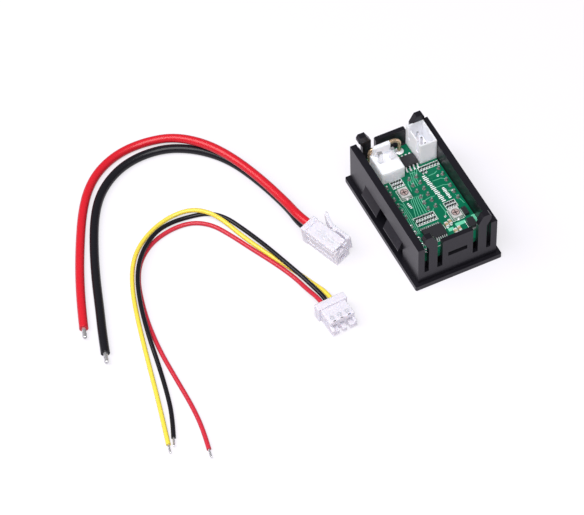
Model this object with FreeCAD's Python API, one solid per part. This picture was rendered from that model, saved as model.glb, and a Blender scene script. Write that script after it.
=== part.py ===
"""Panel volt and ammeter module with its two plugged lead sets, in mm.

The meter lies on its face: the bezel's front is at z = 0 and the open rear, with
the board and its headers, looks up. X runs along the case, Y across it.
"""
import FreeCAD
import Part
import math
import os
from FreeCAD import Rotation, Vector

os.makedirs("parts", exist_ok=True)

# ------------------------------------------------------------------ housing
BEZEL_X = 48.0
BEZEL_Y = 29.0
BEZEL_T = 1.9
BEZEL_CORNER = 0.5
BEZEL_EDGE = 0.25
CASE_X = 45.5
CASE_Y = 26.4
CASE_TOP = 17.2
SIDE_WALL = 2.3
END_WALL = 1.5
WINDOW_X = 40.5
WINDOW_Y = 23.0
WINDOW_SEAT = 1.1
APERTURE_X = 38.5
APERTURE_Y = 21.0

# ------------------------------------------------------------------ display window
LENS_PLAY = 0.1
LENS_FRONT = 0.1

# ------------------------------------------------------------------ end walls
SLOT_FLOOR = 6.1
SLOT_IN = 5.1
SLOT_OUT = 11.1
TAB_HOLE_Y = 3.2
TAB_HOLE_Z = (9.5, 11.2)
TAB_CHAMFER = 0.3
NUB_Y = (3.4, 4.9)
NUB_REACH = 0.4
NUB_H = 0.7
POST_X = (19.5, 21.0)
POST_Y = 9.0

# ------------------------------------------------------------------ board clips
CLIP_IN = 6.8
CLIP_OUT = 9.65
CLIP_SHOULDER = 16.6
CLIP_HEAD_OUT = 11.15
CLIP_HEAD_LOW = 19.45
CLIP_HEAD_IN = 8.5
CLIP_TOP = 21.5
CLIP_BEVEL = 18.4
CLIP_HEAD_Z = 19.2
CLIP_HEAD_STEP = 0.5

# ------------------------------------------------------------------ side latches
LATCH_WINDOW_X = 12.5
LATCH_WINDOW_Z = 9.9
LATCH_IN_X = 2.3
LATCH_OUT_X = 12.2
LATCH_HINGE_Y = 11.7
LATCH_TIP_Y = 14.6
LATCH_LOW_Z = 6.2
RELIEF_X = 13.0
RELIEF_TOP = 14.0

# ------------------------------------------------------------------ circuit board
BOARD_X = 42.2
BOARD_Y = 21.4
BOARD_T = 1.6
BOARD_TOP = 10.6

# ------------------------------------------------------------------ LED modules
MODULE_X = 22.5
MODULE_Y = 10.0
MODULE_H = 6.1
MODULE_MID_X = -1.45
VOLTS_MID_Y = -4.46
AMPS_MID_Y = 5.64
MODULE_PIN_PITCH = 2.54
MODULE_PIN_ROW = 7.62
MODULE_PIN = 0.5
MODULE_PIN_TOP = 11.6
DIGIT_PITCH = 7.5
DIGIT_H = 7.0
DIGIT_W = 4.0
SEGMENT_W = 0.8
SEGMENT_T = 0.2
SEGMENT_GAP = 0.15

# ------------------------------------------------------------------ sense header, three ways
SENSE_PITCH = 2.5
SENSE_MID = (-16.4, 7.95)
SENSE_X = 9.4
SENSE_Y = 5.7
SENSE_TOP = 19.0
SENSE_WALL = 0.5
SENSE_FLOOR = 2.0
SENSE_PIN = 0.64
SENSE_PIN_TOP = 16.8
SENSE_SLOT_W = 1.1
SENSE_SLOT_Z = 14.4

# ------------------------------------------------------------------ current header, two ways
CURRENT_PITCH = 3.96
CURRENT_X = (-18.24, -9.6)
CURRENT_Y = (-8.7, -1.2)
CURRENT_BASE_TOP = 15.2
CURRENT_WALL_T = 1.2
CURRENT_WALL_Y = (-7.9, -2.3)
CURRENT_WALL_TOP = 19.1
CURRENT_SLOT_Y = -6.5
CURRENT_SLOT_W = 0.75
CURRENT_SLOT_Z = (13.4, 17.3)
CURRENT_GROOVE_X = 1.6
CURRENT_PIN = 1.14
CURRENT_PIN_X = -14.6
CURRENT_PIN_TOP = 19.5
PIN_TAIL = 7.4

# ------------------------------------------------------------------ shunt
SHUNT_D = 1.2
SHUNT_X = -19.3
SHUNT_Y = (-8.3, 1.8)
SHUNT_TOP = 17.2
SHUNT_BEND = 2.2
SHUNT_TAIL = 8.0

# ------------------------------------------------------------------ chips
AMP_MID = (-13.9, 2.25)
AMP_SIZE = (3.9, 4.9, 1.4)
AMP_PITCH = 1.27
AMP_SPAN = 6.2
AMP_LEAD_W = 0.42
MCU_MID = (14.1, -3.4)
MCU_SIZE = (4.4, 6.5, 0.95)
MCU_PITCH = 0.65
MCU_SPAN = 6.4
MCU_LEAD_W = 0.25
CHIP_LIFT = 0.1
DIODE_MID = (16.3, 8.1)
DIODE_SIZE = (3.4, 2.2, 1.9)
DIODE_TAB = (0.5, 1.4, 0.9)

# ------------------------------------------------------------------ small soldered parts
CHIP_R = (1.1, 0.55, 0.4)
DISPLAY_R_X = (7.1, 8.8)
DISPLAY_R_Y = -5.95
DISPLAY_R_PITCH = 0.92
SENSE_R_X = (-8.7, -7.3)
SENSE_R_Y = -6.0
SENSE_R_PITCH = 0.9
DIVIDER_X = -9.95
DIVIDER_Y = 4.3
DIVIDER_PITCH = 0.95
DIVIDER_SIDE_X = -8.4
SCALE_R_X = (5.8, 7.05)
SCALE_R_Y = 4.9
SCALE_R_PITCH = 0.85
CAP_SIZE = (1.6, 0.85, 0.85)
CAPS = ((13.1, 1.3), (12.6, 2.75), (16.1, 4.1), (16.5, 2.6))
TIMING_MID = (10.9, 8.7)
TIMING_SIZE = (2.9, 1.3, 1.0)

# ------------------------------------------------------------------ trimmers
TRIM_FRAME = (3.8, 3.0)
TRIM_H = 1.2
TRIM_BORE = 2.3
TRIM_ROTOR_D = 2.2
TRIM_FLOOR = 0.4
TRIM_SLOT = 0.4
VOLTS_TRIM = (-3.3, -4.6)
AMPS_TRIM = (10.5, 5.65)

# ------------------------------------------------------------------ current plug and its lever
CPLUG_W = 5.7
CPLUG_H = 7.5
CPLUG_TOP_L = 13.4
CPLUG_NOSE = 0.6
CPLUG_L = CPLUG_TOP_L + CPLUG_NOSE
CPLUG_STEP_H = 3.4
CPLUG_COLLAR = 1.8
CPLUG_WAIST = 0.25
CPLUG_YAW = 20.0
CPLUG_ROLL = 8.0
CPLUG_AT = (-8.6, -36.2, 0.02)
CPLUG_WIRE_V = 3.45
CPLUG_MOUTH = (2.2, 2.0)
CPLUG_MOUTH_DEEP = 9.5
LEVER_PIVOT_U = 8.2
LEVER_ROOT = 0.7
LEVER_GAP = 0.75
LEVER_T = 1.0
LEVER_W = (1.4, 7.3)

# ------------------------------------------------------------------ sense plug
SPLUG_TOP_L = 8.0
SPLUG_NOSE_L = 9.6
SPLUG_W = 8.3
SPLUG_H = 4.6
SPLUG_EAR_W = 9.8
SPLUG_EAR_H = 5.7
SPLUG_EAR_L = 2.4
SPLUG_YAW = 4.0
SPLUG_AT = (18.2, -40.7, 0.02)
SPLUG_WIRE_W = 2.85
SPLUG_WIRE_PITCH = 1.6
SPLUG_SLOT_W = 0.9
SPLUG_NOTCH_W = 1.1

# ------------------------------------------------------------------ leads
THICK_D = 2.8
THIN_D = 1.4
THICK_CORE = 1.4
THIN_CORE = 0.7
THICK_TIP = 3.7
THIN_TIP = 3.1
BEND_SHARE = 0.45


def box(x0, x1, y0, y1, z0, z1):
    """Return the block between two opposite corners."""
    return Part.makeBox(x1 - x0, y1 - y0, z1 - z0, Vector(x0, y0, z0))


def slab(mid, size, z0):
    """Return a block of the given size centred on mid in plan, standing on z0."""
    hx = size[0] / 2.0
    hy = size[1] / 2.0
    return box(mid[0] - hx, mid[0] + hx, mid[1] - hy, mid[1] + hy, z0, z0 + size[2])


def prism(corners, move):
    """Extrude a closed outline of points by a vector."""
    points = [Vector(*c) for c in corners]
    outline = Part.makePolygon(points + [points[0]])
    return Part.Face(outline).extrude(Vector(*move))


def join(shapes):
    """Fuse shapes into one and clean its seams."""
    whole = shapes[0]
    for other in shapes[1:]:
        whole = whole.fuse(other)
    return whole.removeSplitter()


def take(whole, cutters):
    """Cut a list of shapes out of one."""
    for cutter in cutters:
        whole = whole.cut(cutter)
    return whole


def group(shapes):
    """Keep separate pieces together as one part."""
    return Part.makeCompound(shapes)


def save(name, shape):
    """Write a part's STEP file."""
    shape.exportStep("parts/" + name + ".step")
    print(name, "solids", len(shape.Solids), "volume %.2f" % shape.Volume, "valid", shape.isValid())


# ------------------------------------------------------------------ housing
CAVITY_X = CASE_X - 2.0 * END_WALL
CAVITY_Y = CASE_Y - 2.0 * SIDE_WALL
END_IN = CAVITY_X / 2.0
END_OUT = CASE_X / 2.0
SIDE_IN = CAVITY_Y / 2.0
SIDE_OUT = CASE_Y / 2.0
BOARD_LOW = BOARD_TOP - BOARD_T


def make_bezel():
    """Return the flange with rounded corners and a softened front edge."""
    plate = slab((0.0, 0.0), (BEZEL_X, BEZEL_Y, BEZEL_T), 0.0)
    uprights = [e for e in plate.Edges if abs(e.BoundBox.ZLength - BEZEL_T) < 1e-6]
    plate = plate.makeFillet(BEZEL_CORNER, uprights)
    front = [e for e in plate.Edges if e.BoundBox.ZMax < 1e-6]
    return plate.makeFillet(BEZEL_EDGE, front)


def make_end(side):
    """Return what is cut from and added to one end wall."""
    cuts = []
    adds = []
    for hand in (-1.0, 1.0):
        y = sorted((hand * SLOT_IN, hand * SLOT_OUT))
        x = sorted((side * (END_IN - 0.01), side * (END_OUT + 0.01)))
        cuts.append(box(x[0], x[1], y[0], y[1], SLOT_FLOOR, CASE_TOP + 1.0))
        low = CASE_TOP - TAB_CHAMFER
        edge = hand * SLOT_IN
        inner = hand * (SLOT_IN - TAB_CHAMFER)
        corner = [(x[0], edge, low), (x[0], edge, CASE_TOP), (x[0], inner, CASE_TOP)]
        cuts.append(prism(corner, (x[1] - x[0], 0.0, 0.0)))
        y = sorted((hand * NUB_Y[0], hand * NUB_Y[1]))
        tip = side * (END_IN - NUB_REACH)
        root = side * (END_IN + 0.2)
        wedge = [(root, y[0], BOARD_TOP), (tip, y[0], BOARD_TOP), (root, y[0], BOARD_TOP + NUB_H)]
        adds.append(prism(wedge, (0.0, y[1] - y[0], 0.0)))
        y = sorted((hand * POST_Y, hand * (SIDE_IN + 0.2)))
        x = sorted((side * POST_X[0], side * POST_X[1]))
        adds.append(box(x[0], x[1], y[0], y[1], BEZEL_T - 0.1, BOARD_LOW))
    x = sorted((side * (END_IN - 0.01), side * (END_OUT + 0.01)))
    cuts.append(box(x[0], x[1], -TAB_HOLE_Y, TAB_HOLE_Y, TAB_HOLE_Z[0], TAB_HOLE_Z[1]))
    return cuts, adds


def make_housing():
    """Return the bezel and open-backed case as one moulding."""
    case = slab((0.0, 0.0), (CASE_X, CASE_Y, CASE_TOP - 1.0), 1.0)
    shell = join([make_bezel(), case])
    cuts = [slab((0.0, 0.0), (CAVITY_X, CAVITY_Y, CASE_TOP), BEZEL_T)]
    cuts.append(slab((0.0, 0.0), (APERTURE_X, APERTURE_Y, 4.0), -1.0))
    cuts.append(slab((0.0, 0.0), (WINDOW_X, WINDOW_Y, WINDOW_SEAT + 1.0), -1.0))
    adds = []
    for side in (-1.0, 1.0):
        end_cuts, end_adds = make_end(side)
        cuts.extend(end_cuts)
        adds.extend(end_adds)
        y = sorted((side * (SIDE_IN - 0.5), side * (SIDE_OUT + 0.5)))
        cuts.append(box(-LATCH_WINDOW_X, LATCH_WINDOW_X, y[0], y[1], BEZEL_T, LATCH_WINDOW_Z))
        y = sorted((side * (SIDE_IN - 0.5), side * LATCH_HINGE_Y))
        cuts.append(box(-RELIEF_X, RELIEF_X, y[0], y[1], BEZEL_T + 4.0, RELIEF_TOP))
    return join([take(shell, cuts)] + adds)


def make_clip(end, hand):
    """Return one sprung finger of an end wall with its hooked head."""
    stem = [(CLIP_IN, SLOT_FLOOR), (CLIP_IN, CLIP_BEVEL), (CLIP_HEAD_IN, CLIP_TOP)]
    stem += [(CLIP_HEAD_OUT - 0.55, CLIP_TOP), (CLIP_HEAD_OUT, CLIP_TOP - 1.0)]
    stem += [(CLIP_HEAD_OUT, CLIP_HEAD_LOW), (CLIP_OUT, CLIP_SHOULDER), (CLIP_OUT, SLOT_FLOOR)]
    body = prism([(END_IN, hand * y, z) for y, z in stem], (END_WALL, 0.0, 0.0))
    reach = END_IN - CLIP_HEAD_STEP
    y = sorted((hand * (CLIP_IN - 1.0), hand * (CLIP_HEAD_OUT + 1.0)))
    over = prism([(reach, hand * a, z) for a, z in stem], (END_WALL, 0.0, 0.0))
    over = over.common(box(reach - 1.0, END_IN + 0.2, y[0], y[1], CLIP_HEAD_Z, CLIP_TOP + 1.0))
    clip = join([body, over])
    if end < 0:
        clip = clip.mirror(Vector(0, 0, 0), Vector(1, 0, 0))
    return clip


def make_latch(end, hand):
    """Return one sprung panel latch of a side wall."""
    outline = [(LATCH_HINGE_Y, LATCH_WINDOW_Z), (SIDE_OUT, LATCH_WINDOW_Z)]
    outline += [(LATCH_TIP_Y, LATCH_LOW_Z + 0.35), (LATCH_TIP_Y, LATCH_LOW_Z)]
    outline += [(SIDE_OUT, LATCH_LOW_Z)]
    x = sorted((end * LATCH_IN_X, end * LATCH_OUT_X))
    return prism([(x[0], hand * y, z) for y, z in outline], (x[1] - x[0], 0.0, 0.0))


# ------------------------------------------------------------------ display
def make_lens():
    """Return the clear window that sits in the bezel."""
    size = (WINDOW_X - 2.0 * LENS_PLAY, WINDOW_Y - 2.0 * LENS_PLAY, WINDOW_SEAT - LENS_FRONT)
    return slab((0.0, 0.0), size, LENS_FRONT)


def digit_bars(mid_x, mid_y, z0):
    """Return the seven bars and the point of one digit, read with -Y up."""
    long_y = DIGIT_H / 2.0 - SEGMENT_W - SEGMENT_GAP
    long_x = DIGIT_W - 2.0 * SEGMENT_W - 2.0 * SEGMENT_GAP
    side_x = (DIGIT_W - SEGMENT_W) / 2.0
    bars = []
    for row in (-1.0, 0.0, 1.0):
        y = mid_y + row * (DIGIT_H - SEGMENT_W) / 2.0
        bars.append(slab((mid_x, y), (long_x + SEGMENT_W, SEGMENT_W - 0.1, SEGMENT_T), z0))
    for column in (-1.0, 1.0):
        for row in (-1.0, 1.0):
            y = mid_y + row * (DIGIT_H - SEGMENT_W) / 4.0
            size = (SEGMENT_W - 0.1, long_y - SEGMENT_GAP, SEGMENT_T)
            bars.append(slab((mid_x + column * side_x, y), size, z0))
    dot = (mid_x + DIGIT_W / 2.0 + 0.8, mid_y + (DIGIT_H - SEGMENT_W) / 2.0)
    bars.append(slab(dot, (SEGMENT_W, SEGMENT_W, SEGMENT_T), z0))
    return bars


def make_module(mid_y):
    """Return one three-digit LED block, its lit bars and its two rows of pins."""
    z0 = BOARD_LOW - MODULE_H
    body = slab((MODULE_MID_X, mid_y), (MODULE_X, MODULE_Y, MODULE_H), z0)
    bars = []
    for column in (-1.0, 0.0, 1.0):
        bars.extend(digit_bars(MODULE_MID_X - 0.4 + column * DIGIT_PITCH, mid_y, z0))
    body = take(body, bars)
    pins = []
    for row in (-0.5, 0.5):
        for column in range(6):
            x = MODULE_MID_X + (column - 2.5) * MODULE_PIN_PITCH
            y = mid_y + row * MODULE_PIN_ROW
            size = (MODULE_PIN, MODULE_PIN, MODULE_PIN_TOP - BOARD_LOW)
            pins.append(slab((x, y), size, BOARD_LOW))
    return body, bars, pins


# ------------------------------------------------------------------ headers and shunt
def make_sense_header():
    """Return the three-way shrouded header and its pins."""
    shell = slab(SENSE_MID, (SENSE_X, SENSE_Y, SENSE_TOP - BOARD_TOP), BOARD_TOP)
    inner = (SENSE_X - 2.0 * SENSE_WALL, SENSE_Y - 2.0 * SENSE_WALL, SENSE_TOP)
    cuts = [slab(SENSE_MID, inner, BOARD_TOP + SENSE_FLOOR)]
    pins = []
    for way in (-1.0, 0.0, 1.0):
        spot = (SENSE_MID[0] + way * SENSE_PITCH, SENSE_MID[1])
        pins.append(slab(spot, (SENSE_PIN, SENSE_PIN, SENSE_PIN_TOP - PIN_TAIL), PIN_TAIL))
    for way in (-1.0, 1.0):
        x = SENSE_MID[0] + way * SENSE_X * 0.3
        y = SENSE_MID[1] - SENSE_Y / 2.0
        half = SENSE_SLOT_W / 2.0
        cuts.append(box(x - half, x + half, y - 0.1, y + SENSE_WALL + 0.1, SENSE_SLOT_Z, SENSE_TOP + 1.0))
    return take(shell, cuts + pins), pins


def make_current_header():
    """Return the two-way header with its locking wall and its pins."""
    base = box(CURRENT_X[0], CURRENT_X[1], CURRENT_Y[0], CURRENT_Y[1], BOARD_TOP, CURRENT_BASE_TOP)
    x1 = CURRENT_X[0] + CURRENT_WALL_T
    wall = box(CURRENT_X[0], x1, CURRENT_WALL_Y[0], CURRENT_WALL_Y[1], CURRENT_BASE_TOP, CURRENT_WALL_TOP)
    half = CURRENT_SLOT_W / 2.0
    slot = box(CURRENT_X[0] - 0.1, x1 + 0.01, CURRENT_SLOT_Y - half, CURRENT_SLOT_Y + half,
               CURRENT_BASE_TOP, CURRENT_SLOT_Z[1])
    groove = box(x1 - 0.01, x1 + CURRENT_GROOVE_X, CURRENT_SLOT_Y - half, CURRENT_SLOT_Y + half,
                 CURRENT_SLOT_Z[0], CURRENT_BASE_TOP + 0.1)
    pins = []
    for way in (-0.5, 0.5):
        mid_y = (CURRENT_Y[0] + CURRENT_Y[1]) / 2.0
        spot = (CURRENT_PIN_X, mid_y + way * CURRENT_PITCH)
        pins.append(slab(spot, (CURRENT_PIN, CURRENT_PIN, CURRENT_PIN_TOP - PIN_TAIL), PIN_TAIL))
    shell = take(join([base, wall]), [slot, groove] + pins)
    return shell, pins


def make_shunt():
    """Return the bent wire that carries the measured current over the board."""
    radius = SHUNT_D / 2.0
    low = Vector(SHUNT_X, SHUNT_Y[0], SHUNT_TAIL)
    bend = SHUNT_BEND
    top = SHUNT_TOP - radius
    leg_a = Part.makeCylinder(radius, top - bend - SHUNT_TAIL, low, Vector(0, 0, 1))
    leg_b = leg_a.translated(Vector(0, SHUNT_Y[1] - SHUNT_Y[0], 0))
    bridge = Part.makeCylinder(radius, SHUNT_Y[1] - SHUNT_Y[0] - 2.0 * bend,
                               Vector(SHUNT_X, SHUNT_Y[0] + bend, top), Vector(0, 1, 0))
    corners = []
    for y, turn in ((SHUNT_Y[0], -90.0), (SHUNT_Y[1], 90.0)):
        ring = Part.Face(Part.Wire(Part.makeCircle(radius, Vector(SHUNT_X, y, top - bend), Vector(0, 0, 1))))
        inward = bend if turn < 0 else -bend
        centre = Vector(SHUNT_X, y + inward, top - bend)
        corners.append(ring.revolve(centre, Vector(1, 0, 0), turn))
    return join([leg_a, corners[0], bridge, corners[1], leg_b])


# ------------------------------------------------------------------ chips and small parts
def gull_leads(mid, span, width, pitch, count, lift):
    """Return gull-wing leads down both long sides of a chip body."""
    leads = []
    for side in (-1.0, 1.0):
        for index in range(count):
            y = mid[1] + (index - (count - 1) / 2.0) * pitch
            outer = mid[0] + side * span / 2.0
            knee = outer - side * 0.55
            inner = outer - side * 0.95
            top = BOARD_TOP + lift
            outline = [(outer, BOARD_TOP), (outer, BOARD_TOP + 0.16), (knee, BOARD_TOP + 0.16)]
            outline += [(inner + side * 0.1, top + 0.16), (inner - side * 0.2, top + 0.16)]
            outline += [(inner - side * 0.2, top), (inner, top), (knee - side * 0.1, BOARD_TOP)]
            points = [(x, y - width / 2.0, z) for x, z in outline]
            leads.append(prism(points, (0.0, width, 0.0)))
    return leads


def make_chip(mid, size, leads):
    """Return a moulded chip body with its leads let into it."""
    return take(slab(mid, size, BOARD_TOP + CHIP_LIFT), leads)


def make_small(places, size):
    """Return a set of small soldered parts at the given centres."""
    return group([slab(place, size, BOARD_TOP) for place in places])


def make_trimmer(mid):
    """Return a trimmer's frame and the rotor that turns in it."""
    frame = slab(mid, (TRIM_FRAME[0], TRIM_FRAME[1], TRIM_H), BOARD_TOP)
    floor = BOARD_TOP + TRIM_FLOOR
    bore = Part.makeCylinder(TRIM_BORE / 2.0, TRIM_H, Vector(mid[0], mid[1], floor))
    rotor = Part.makeCylinder(TRIM_ROTOR_D / 2.0, TRIM_H - TRIM_FLOOR, Vector(mid[0], mid[1], floor))
    rotor = rotor.translated(Vector(0.0, 0.0, 0.02))
    top = BOARD_TOP + TRIM_H
    cross = [slab(mid, (TRIM_ROTOR_D * 0.8, TRIM_SLOT, 1.0), top - 0.4)]
    cross.append(slab(mid, (TRIM_SLOT, TRIM_ROTOR_D * 0.8, 1.0), top - 0.4))
    return frame.cut(bore), take(rotor, cross)


# ------------------------------------------------------------------ plugs
def place(shape, at, yaw, roll):
    """Turn a plug about its long axis and then about the vertical, and move it."""
    turned = shape.copy()
    spin = Rotation(Vector(0, 0, 1), yaw).multiply(Rotation(Vector(1, 0, 0), roll))
    turned.Placement = FreeCAD.Placement(Vector(*at), spin)
    return turned


def placed_point(point, at, yaw, roll):
    """Return where a point of a plug lands once the plug is placed."""
    spin = Rotation(Vector(0, 0, 1), yaw).multiply(Rotation(Vector(1, 0, 0), roll))
    return spin.multVec(Vector(*point)).add(Vector(*at))


def make_current_plug():
    """Return the two-way plug housing and the contacts inside it."""
    waist = CPLUG_WAIST
    collar = box(0.0, CPLUG_COLLAR, 0.0, CPLUG_W, 0.0, CPLUG_H)
    body = box(CPLUG_COLLAR, CPLUG_TOP_L, waist, CPLUG_W, 0.0, CPLUG_H - waist)
    nose = box(CPLUG_TOP_L, CPLUG_L, waist, CPLUG_W, 0.0, CPLUG_STEP_H)
    lip = box(CPLUG_TOP_L, CPLUG_L, waist, CPLUG_W, CPLUG_STEP_H + 0.8, CPLUG_H - 1.0)
    ribs = []
    for w in (1.9, 5.2):
        ribs.append(box(CPLUG_COLLAR, CPLUG_TOP_L - 0.8, 0.0, waist, w, w + 0.7))
    cuts = []
    contacts = []
    centre = CPLUG_W / 2.0
    for way in (-0.5, 0.5):
        w = CPLUG_H / 2.0 + way * CURRENT_PITCH
        half_v = CPLUG_MOUTH[0] / 2.0
        half_w = CPLUG_MOUTH[1] / 2.0
        start = CPLUG_L - CPLUG_MOUTH_DEEP
        cuts.append(box(start, CPLUG_L + 1.0, centre - half_v, centre + half_v, w - half_w, w + half_w))
        outer = box(start, CPLUG_L - 1.6, centre - half_v, centre + half_v, w - half_w, w + half_w)
        hollow = box(start + 2.0, CPLUG_L, centre - half_v + 0.3, centre + half_v - 0.3,
                     w - half_w + 0.3, w + half_w - 0.3)
        contacts.append(outer.cut(hollow))
    return take(join([collar, body, nose, lip] + ribs), cuts), contacts


def make_lever():
    """Return the latch lever that runs along one side of the current plug."""
    side = CPLUG_W
    near = side + LEVER_GAP
    far = near + LEVER_T
    u = LEVER_PIVOT_U
    root = LEVER_ROOT
    outline = [(u - root, side), (u + root, side), (u + root, near), (CPLUG_L - 1.6, near)]
    outline += [(CPLUG_L - 1.2, near - 0.45), (CPLUG_L - 0.5, near - 0.45), (CPLUG_L - 0.2, far)]
    outline += [(u - 1.5, far), (2.6, far + 1.9), (1.8, far + 1.9), (1.9, far + 0.9)]
    outline += [(u - 2.2, near), (u - root, near)]
    points = [(a, b, LEVER_W[0]) for a, b in outline]
    return prism(points, (0.0, 0.0, LEVER_W[1] - LEVER_W[0]))


def make_sense_plug():
    """Return the three-way plug housing, laid flat, and its contacts."""
    half = SPLUG_W / 2.0
    ear = SPLUG_EAR_W / 2.0
    low = (SPLUG_EAR_H - SPLUG_H) / 2.0
    ears = box(0.0, SPLUG_EAR_L, -ear, ear, 0.0, SPLUG_EAR_H)
    body = box(SPLUG_EAR_L, SPLUG_TOP_L, -half, half, low, low + SPLUG_H)
    nose = box(SPLUG_TOP_L, SPLUG_NOSE_L, -half, half, low, low + SPLUG_H * 0.55)
    keel = box(SPLUG_EAR_L, SPLUG_TOP_L - 2.0, -half + 0.6, half - 0.6, 0.0, low)
    cuts = []
    contacts = []
    middle = low + SPLUG_H / 2.0
    for way in (-0.5, 0.5):
        v = way * SENSE_PITCH
        notch = SPLUG_NOTCH_W / 2.0
        cuts.append(box(SPLUG_TOP_L, SPLUG_NOSE_L + 1.0, v - notch, v + notch, 0.0, SPLUG_H))
    for way in (-1.0, 0.0, 1.0):
        v = way * SENSE_PITCH
        start = SPLUG_EAR_L
        cuts.append(box(start, SPLUG_NOSE_L + 1.0, v - 0.75, v + 0.75, middle - 0.6, middle + 0.6))
        outer = box(start, SPLUG_TOP_L - 0.9, v - 0.75, v + 0.75, middle - 0.6, middle + 0.6)
        hollow = box(start + 1.5, SPLUG_TOP_L, v - 0.45, v + 0.45, middle - 0.35, middle + 0.35)
        contacts.append(outer.cut(hollow))
        slot = SPLUG_SLOT_W / 2.0
        top = low + SPLUG_H
        cuts.append(box(SPLUG_TOP_L - 2.2, SPLUG_TOP_L - 1.1, v - slot, v + slot, middle + 0.6, top + 0.1))
    return take(join([ears, body, nose, keel]), cuts), contacts


# ------------------------------------------------------------------ leads
def bend_radius(before, here, after):
    """Return the arc radius at a route point and its turn in degrees."""
    a = here.sub(before)
    b = after.sub(here)
    turn = a.getAngle(b)
    short = min(a.Length, b.Length)
    return BEND_SHARE * short / math.tan(turn / 2.0), math.degrees(turn)


def make_lead(name, route, diameter):
    """Return a round lead of straight runs and tangent bends along a route."""
    points = [Vector(*p) for p in route]
    edges = []
    last = points[0]
    tightest = 1e9
    sharpest = 0.0
    for index in range(1, len(points) - 1):
        before = points[index - 1]
        here = points[index]
        after = points[index + 1]
        radius, turn = bend_radius(before, here, after)
        tightest = min(tightest, radius)
        sharpest = max(sharpest, turn)
        back = before.sub(here).normalize()
        on = after.sub(here).normalize()
        reach = radius * math.tan(math.radians(turn) / 2.0)
        start = here.add(Vector(back).multiply(reach))
        end = here.add(Vector(on).multiply(reach))
        inward = back.add(on).normalize()
        depth = radius / math.cos(math.radians(turn) / 2.0) - radius
        mid = here.add(Vector(inward).multiply(depth))
        edges.append(Part.makeLine(last, start))
        edges.append(Part.Arc(start, mid, end).toShape())
        last = end
    edges.append(Part.makeLine(last, points[-1]))
    spine = Part.Wire(edges)
    heading = points[1].sub(points[0])
    ring = Part.Wire(Part.makeCircle(diameter / 2.0, points[0], heading))
    lead = spine.makePipeShell([ring], True, False)
    section = math.pi * diameter * diameter / 4.0
    share = lead.Volume / (section * spine.Length)
    runs = [points[i + 1].sub(points[i]).Length for i in range(len(points) - 1)]
    ratio = max(max(a / b, b / a) for a, b in zip(runs, runs[1:]))
    print("lead", name, "length %.1f" % spine.Length, "radius %.2f" % tightest,
          "turn %.1f" % sharpest, "volume share %.4f" % share, "valid", lead.isValid(),
          "runs %.1f..%.1f" % (min(runs), max(runs)), "ratio %.2f" % ratio,
          "ends %.1f/%.1f %.1f/%.1f" % (runs[0], runs[1], runs[-1], runs[-2]))
    return lead


def make_tip(route, core, length):
    """Return the bare tinned end that follows on from a lead."""
    last = Vector(*route[-1])
    heading = last.sub(Vector(*route[-2])).normalize()
    return Part.makeCylinder(core / 2.0, length, last, heading)


def current_exit(way):
    """Return where one current lead leaves its plug."""
    w = CPLUG_H / 2.0 + way * CURRENT_PITCH
    at = placed_point((0.0, CPLUG_WIRE_V, w), CPLUG_AT, CPLUG_YAW, CPLUG_ROLL)
    return (at.x, at.y, at.z)


def sense_exit(way):
    """Return where one sense lead leaves its plug."""
    at = placed_point((0.0, way * SPLUG_WIRE_PITCH, SPLUG_WIRE_W), SPLUG_AT, SPLUG_YAW, 0.0)
    return (at.x, at.y, at.z)


def behind(point, yaw, length):
    """Return the point straight behind an exit, level with it."""
    x = point[0] - length * math.cos(math.radians(yaw))
    y = point[1] - length * math.sin(math.radians(yaw))
    return (x, y, point[2])


RED_EXIT = current_exit(0.5)
BLACK_EXIT = current_exit(-0.5)
THIN_RED_EXIT = sense_exit(-1.0)
THIN_BLACK_EXIT = sense_exit(0.0)
YELLOW_EXIT = sense_exit(1.0)

THICK_RED_ROUTE = [RED_EXIT, behind(RED_EXIT, CPLUG_YAW, 4.2)]
THICK_RED_ROUTE += [(-21.0, -35.9, 5.0), (-34.2, -38.9, 4.5), (-46.0, -43.2, 4.4), (-54.6, -48.6, 4.6)]
THICK_RED_ROUTE += [(-61.9, -55.4, 3.1), (-65.2, -63.6, 1.6), (-65.0, -72.4, 1.4)]
THICK_RED_ROUTE += [(-61.6, -80.6, 1.4), (-55.9, -87.0, 1.4), (-47.8, -92.4, 1.4)]
THICK_RED_ROUTE += [(-36.9, -97.8, 1.4), (-26.0, -102.6, 1.4), (-14.2, -107.0, 1.4), (-7.4, -109.2, 1.4)]

THICK_BLACK_ROUTE = [BLACK_EXIT, behind(BLACK_EXIT, CPLUG_YAW, 4.2)]
THICK_BLACK_ROUTE += [(-21.3, -35.0, 1.6), (-34.4, -38.2, 1.4), (-46.2, -42.6, 1.4), (-54.4, -49.2, 1.4)]
THICK_BLACK_ROUTE += [(-59.6, -57.4, 1.4), (-60.9, -65.6, 1.4), (-59.7, -73.2, 1.4)]
THICK_BLACK_ROUTE += [(-56.3, -79.8, 1.4), (-51.4, -85.2, 1.4), (-44.5, -89.7, 1.4)]
THICK_BLACK_ROUTE += [(-35.1, -94.0, 1.4), (-23.8, -98.3, 1.4), (-11.6, -102.2, 1.4), (-3.2, -105.0, 1.4)]
THICK_BLACK_ROUTE += [(3.8, -107.1, 1.4)]

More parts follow.
